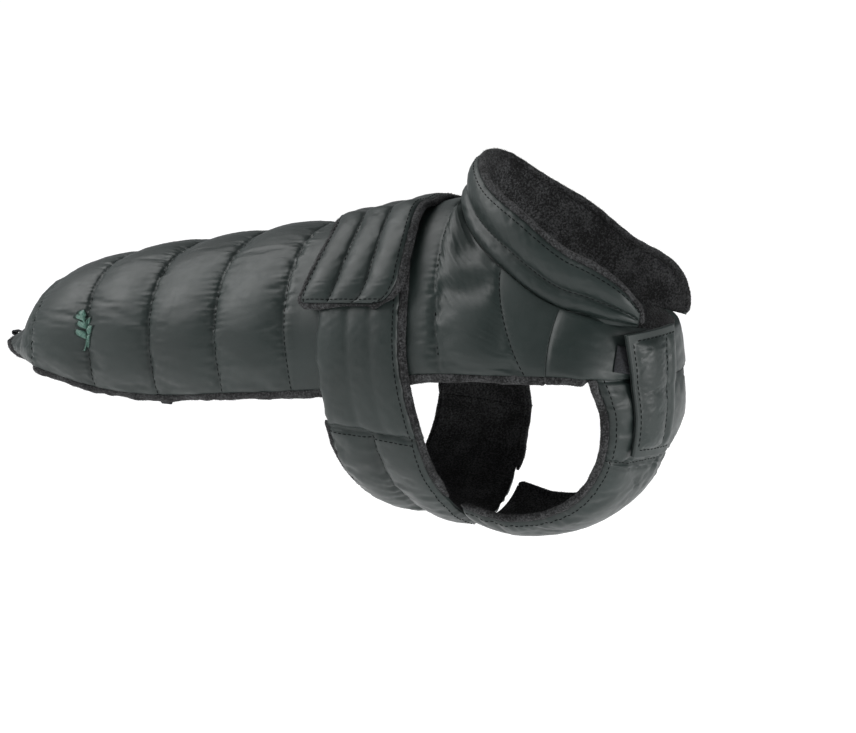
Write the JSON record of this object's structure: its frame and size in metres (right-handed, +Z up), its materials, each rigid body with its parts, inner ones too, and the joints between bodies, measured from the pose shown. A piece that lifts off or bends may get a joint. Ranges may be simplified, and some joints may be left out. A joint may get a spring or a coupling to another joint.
{
  "type": "dog winter coat",
  "caption": "Quilted, fleece-lined dog coat in its worn form, with a stand-up collar, chest bib, front tab, belly band and a flap that closes over one side.",
  "frame": {"origin": "inner face of the back panel in the middle of the nape seam, where the coat rests on the wearer", "axes": "+X towards the head end, +Y to the wearer's left, +Z up"},
  "size_m": [0.4636, 0.1457, 0.2109],
  "materials": {
    "nylon": "satin woven nylon shell, quilted over wadding, dark green-grey",
    "fleece": "matte brushed fleece, charcoal heather",
    "cord": "matte woven tape, near black",
    "hook_and_loop": "matte loop pile, near black"
  },
  "bodies": {
    "root": {"back_panel": "nylon", "right_yoke": "nylon", "left_yoke": "nylon", "chest_bib": "nylon", "belly_panel": "nylon", "right_band": "nylon", "left_band_flap": "nylon", "stand_collar": "nylon", "front_tab": "nylon", "fastener_patch": "hook_and_loop", "hem_edging": "fleece", "right_armhole_edging": "fleece", "left_armhole_edging": "fleece", "right_band_edging": "fleece", "left_band_edging": "fleece", "belly_edging": "fleece", "collar_edging": "fleece", "tail_loop": "cord", "right_hem_loop": "cord", "left_hem_loop": "cord"}
  },
  "joints": []
}
